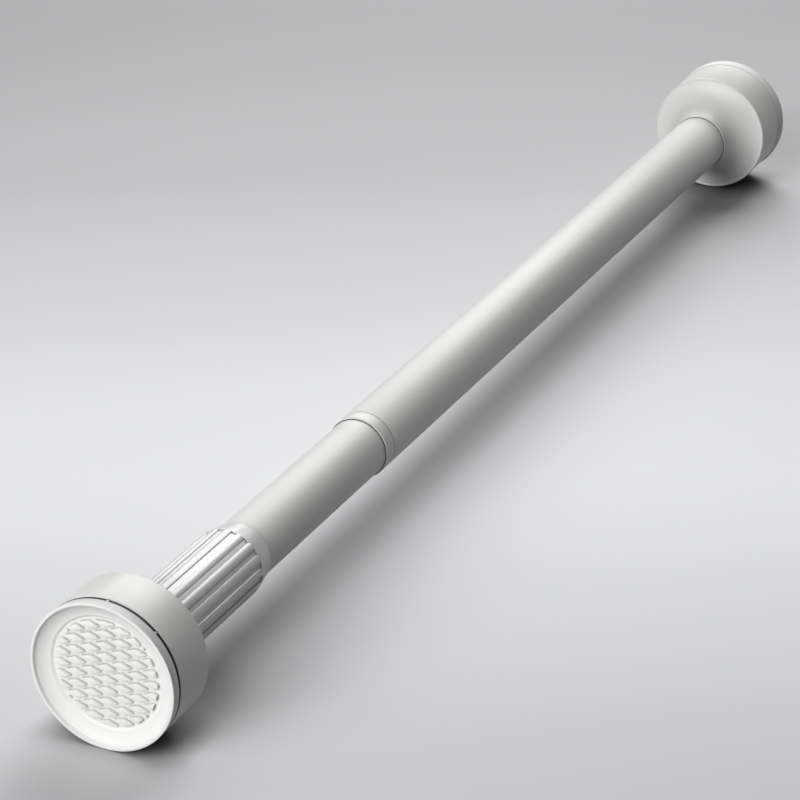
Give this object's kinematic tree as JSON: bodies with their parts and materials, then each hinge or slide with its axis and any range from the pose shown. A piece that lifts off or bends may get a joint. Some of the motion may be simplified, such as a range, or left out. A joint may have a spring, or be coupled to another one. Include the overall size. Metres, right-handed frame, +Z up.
{
  "type": "spring tension rod",
  "caption": "Telescoping curtain rod that clamps between two walls, with a ribbed tension knob, an inner twist lock and a spring-backed round rubber pad at its adjustable end.",
  "frame": {"origin": "centre of the fixed end pad's wall face", "axes": "+X along the rod to the adjustable end, +Z up"},
  "size_m": [0.595, 0.0554, 0.0554],
  "materials": {
    "white_grip": "soft matte white",
    "white_cover": "satin moulded white",
    "white_knob": "glossy moulded white",
    "painted_tube": "satin warm white powder coat",
    "natural_plastic": "unpainted nylon",
    "black_rubber": "matte black",
    "plain_steel": "zinc-plated",
    "brass": "turned"
  },
  "bodies": {
    "outer": {"fixed_grip_pad": "white_grip", "fixed_pad_plate": "natural_plastic", "fixed_cover": "white_cover", "fixed_plug": "natural_plastic", "fixed_screw": "plain_steel", "outer_tube": "painted_tube", "tube_collar": "white_cover"},
    "sleeve": {"lock_sleeve": "natural_plastic"},
    "wedge": {"lock_wedge": "natural_plastic"},
    "inner": {"inner_tube": "painted_tube", "lock_core": "natural_plastic", "lock_stud": "plain_steel", "lock_end_nut": "plain_steel", "knob_bush": "natural_plastic", "thrust_washer": "natural_plastic", "retaining_clip": "plain_steel"},
    "knob": {"tension_knob": "white_knob", "knob_nut": "brass"},
    "jack": {"adjustable_cover": "white_cover", "cover_hub": "natural_plastic", "rubber_cushion": "black_rubber", "jack_screw": "plain_steel", "jack_stop_clip": "plain_steel", "pad_spring": "plain_steel"},
    "pad": {"grip_pad": "white_grip", "pad_plate": "natural_plastic", "plunger": "natural_plastic"}
  },
  "joints": [
    {"name": "telescope", "type": "slide", "parent": "outer", "child": "sleeve", "axis": [1, 0, 0], "range_m": [-0.093, 0.125]},
    {"name": "twist_lock", "type": "hinge", "parent": "sleeve", "child": "inner", "pos_m": [0.2, 0, 0], "axis": [1, 0, 0], "range_deg": [0, 180]},
    {"name": "wedge_draw", "type": "slide", "parent": "sleeve", "child": "wedge", "axis": [1, 0, 0], "range_m": [0, 0.00063]},
    {"name": "knob_turn", "type": "hinge", "parent": "inner", "child": "knob", "pos_m": [0.54, 0, 0], "axis": [1, 0, 0], "range_deg": [0, 1441]},
    {"name": "jack_out", "type": "slide", "parent": "inner", "child": "jack", "axis": [1, 0, 0], "range_m": [0, 0.01]},
    {"name": "pad_press", "type": "slide", "parent": "jack", "child": "pad", "axis": [-1, 0, 0], "range_m": [0, 0.00045], "stiffness_N_per_m": 8000, "deforming": ["pad_spring"]}
  ],
  "couplings": [
    {"joint": "wedge_draw", "follows": "twist_lock", "m_per_rad": 0.00019894},
    {"joint": "knob_turn", "follows": "jack_out", "rad_per_m": 2513.3}
  ]
}
